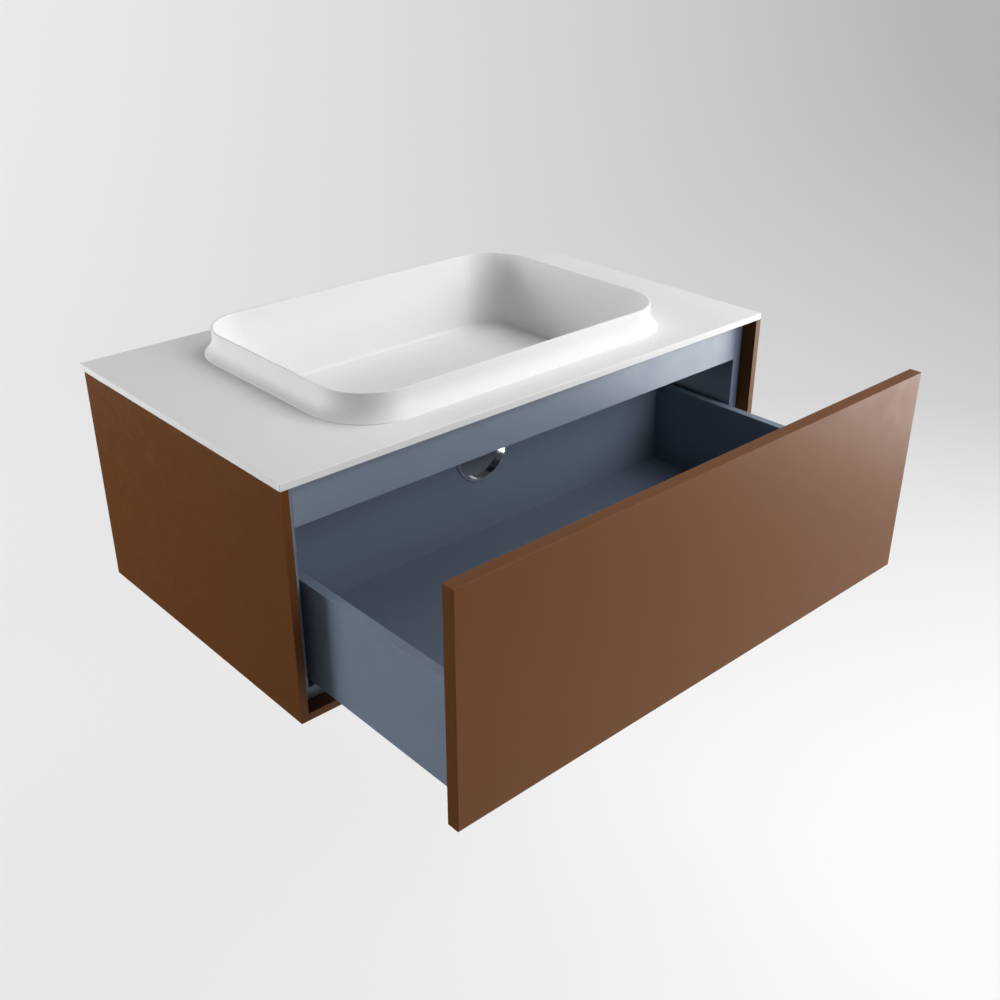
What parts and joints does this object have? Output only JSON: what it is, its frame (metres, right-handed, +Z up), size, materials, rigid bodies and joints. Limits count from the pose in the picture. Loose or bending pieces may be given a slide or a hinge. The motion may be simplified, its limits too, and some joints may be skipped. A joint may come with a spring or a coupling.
{
  "type": "vessel sink on vanity",
  "caption": "Wall-hung bathroom vanity: a shallow brown cabinet with a handleless push-to-open drawer, a thin white worktop and a rounded rectangular basin standing proud of it.",
  "frame": {"origin": "centre of the wall plates' hole pattern, on the wall", "axes": "+X to the right seen from the front, +Y into the wall, +Z up"},
  "size_m": [0.8, 0.719, 0.3384],
  "materials": {
    "white_solid_surface": "matt, fine grain",
    "white_basin": "matt white",
    "chrome": "polished",
    "seal_rubber": "matt",
    "brown_lacquer": "matt brown lacquer on board",
    "blue_board": "matt blue-grey coated board",
    "runner_steel": "zinc-plated",
    "screw_steel": "zinc-plated",
    "dowel_wood": "plain beech",
    "grey_plastic": "moulded"
  },
  "bodies": {
    "cabinet": {"worktop": "white_solid_surface", "basin": "white_basin", "waste_body": "chrome", "waste_top_seal": "seal_rubber", "waste_under_seal": "seal_rubber", "waste_lock_nut": "chrome", "shell_left": "brown_lacquer", "shell_right": "brown_lacquer", "shell_bottom": "brown_lacquer", "carcass_left": "blue_board", "carcass_right": "blue_board", "carcass_bottom": "blue_board", "front_rail": "blue_board", "rear_top_rail": "blue_board", "rear_bottom_rail": "blue_board", "carcass_screws": "screw_steel", "shell_side_screws": "screw_steel", "shell_base_screws": "screw_steel", "runner_cabinet_left": "runner_steel", "runner_cabinet_right": "runner_steel", "runner_side_screws": "screw_steel", "push_latch_left": "grey_plastic", "push_latch_right": "grey_plastic", "hanger_left": "grey_plastic", "hanger_right": "grey_plastic", "hanger_hook_left": "runner_steel", "hanger_hook_right": "runner_steel", "wall_plate_left": "runner_steel", "wall_plate_right": "runner_steel", "hanger_screws": "screw_steel", "hanger_adjusters": "screw_steel"},
    "drawer": {"drawer_front": "brown_lacquer", "drawer_inner_front": "blue_board", "drawer_left": "blue_board", "drawer_right": "blue_board", "drawer_back": "blue_board", "drawer_bottom": "blue_board", "drawer_dowels": "dowel_wood", "front_screws": "screw_steel", "front_bumpers": "seal_rubber", "notch_trim": "chrome", "runner_drawer_left": "runner_steel", "runner_drawer_right": "runner_steel", "runner_web_screws": "screw_steel"},
    "runner_middle_left": {"runner_middle_left": "runner_steel"},
    "runner_middle_right": {"runner_middle_right": "runner_steel"},
    "waste_plug": {"waste_plug": "chrome", "plug_seal": "seal_rubber"},
    "latch_plunger_left": {"latch_plunger_left": "grey_plastic"},
    "latch_plunger_right": {"latch_plunger_right": "grey_plastic"}
  },
  "joints": [
    {"name": "drawer_slide", "type": "slide", "parent": "cabinet", "child": "drawer", "axis": [0, -1, 0], "range_m": [-0.262, 0.123]},
    {"name": "runner_middle_left_slide", "type": "slide", "parent": "cabinet", "child": "runner_middle_left", "axis": [0, -1, 0], "range_m": [-0.131, 0.0615]},
    {"name": "runner_middle_right_slide", "type": "slide", "parent": "cabinet", "child": "runner_middle_right", "axis": [0, -1, 0], "range_m": [-0.131, 0.0615]},
    {"name": "plug_lift", "type": "slide", "parent": "cabinet", "child": "waste_plug", "axis": [0, 0, 1], "range_m": [0, 0.008]},
    {"name": "latch_left_press", "type": "slide", "parent": "cabinet", "child": "latch_plunger_left", "axis": [0, 1, 0], "range_m": [0, 0.0022], "stiffness_N_per_m": 400},
    {"name": "latch_right_press", "type": "slide", "parent": "cabinet", "child": "latch_plunger_right", "axis": [0, 1, 0], "range_m": [0, 0.0022], "stiffness_N_per_m": 400}
  ],
  "couplings": [
    {"joint": "runner_middle_left_slide", "follows": "drawer_slide", "ratio": 0.5},
    {"joint": "runner_middle_right_slide", "follows": "drawer_slide", "ratio": 0.5}
  ]
}
